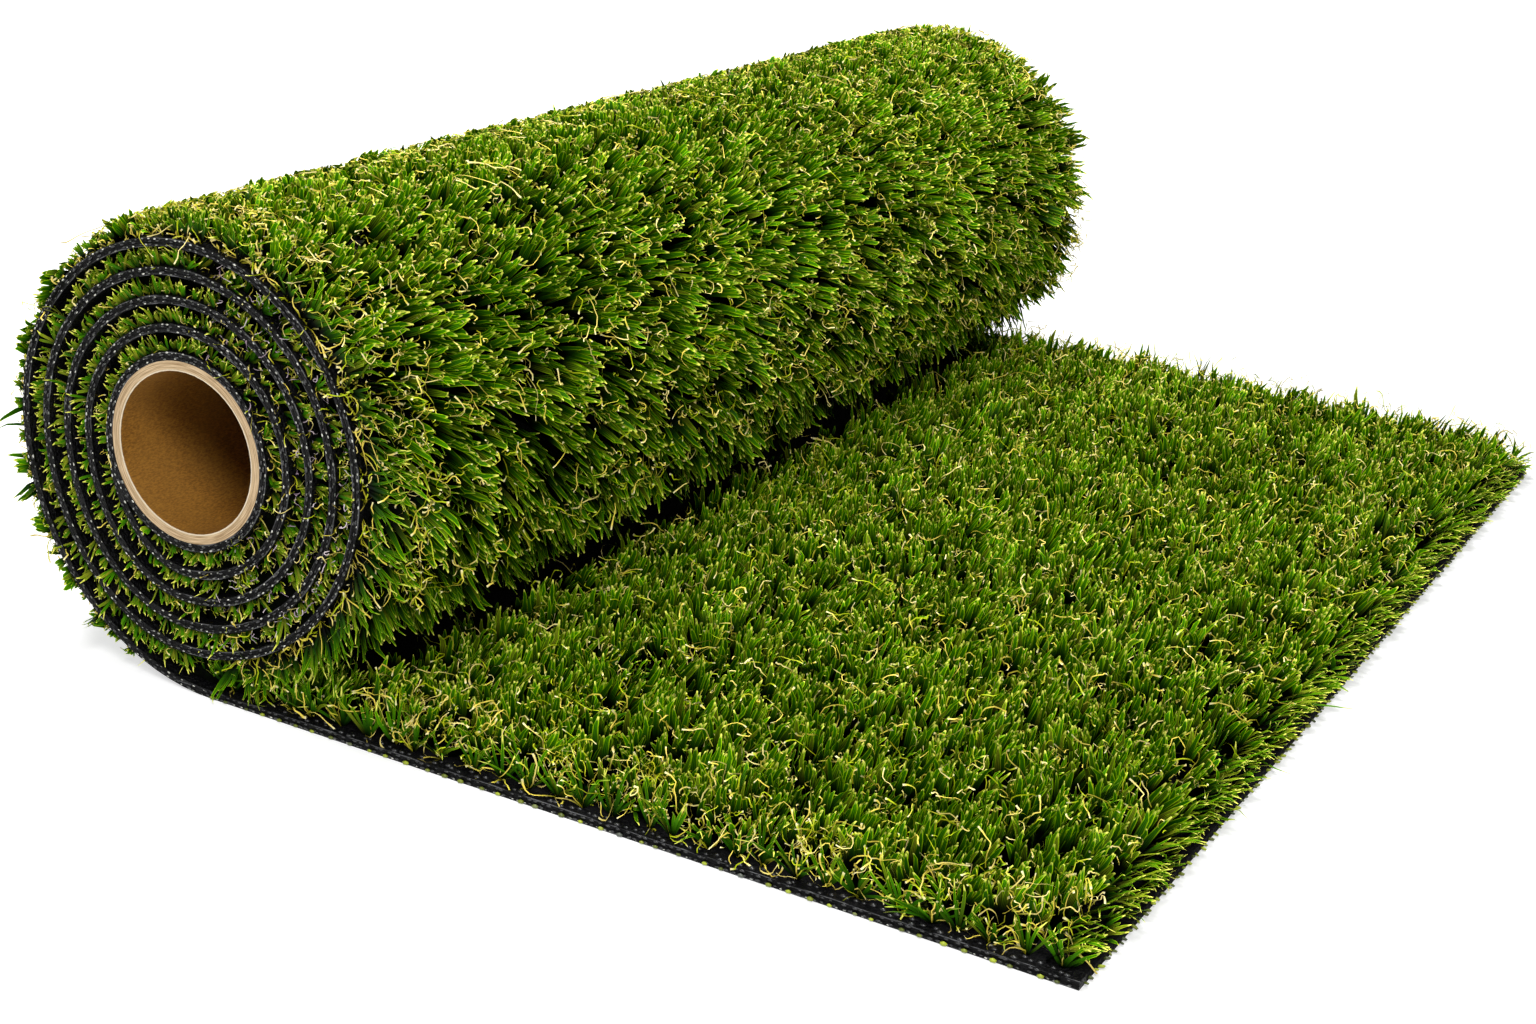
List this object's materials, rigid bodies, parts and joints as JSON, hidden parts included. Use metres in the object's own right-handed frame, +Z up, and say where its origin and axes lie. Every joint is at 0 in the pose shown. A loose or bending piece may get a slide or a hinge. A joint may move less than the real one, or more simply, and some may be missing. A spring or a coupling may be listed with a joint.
{
  "type": "roll of artificial turf",
  "caption": "Artificial turf wound pile side out on a cardboard tube, with its free end unrolled flat on the floor.",
  "frame": {"origin": "centre of the part's footprint, on the floor that it lies on", "axes": "+X along the unrolled turf towards its free end, +Y along the roll's axis, +Z up"},
  "size_m": [0.7095, 1, 0.2955],
  "materials": {
    "tube": "matt wound kraft paper",
    "backing": "matt black latex on woven cloth",
    "pile": "tufted polyethylene yarn"
  },
  "bodies": {
    "root": {"core_tube": "tube", "turf_backing": "backing", "rolled_pile": "pile", "flat_pile": "pile"}
  },
  "joints": []
}
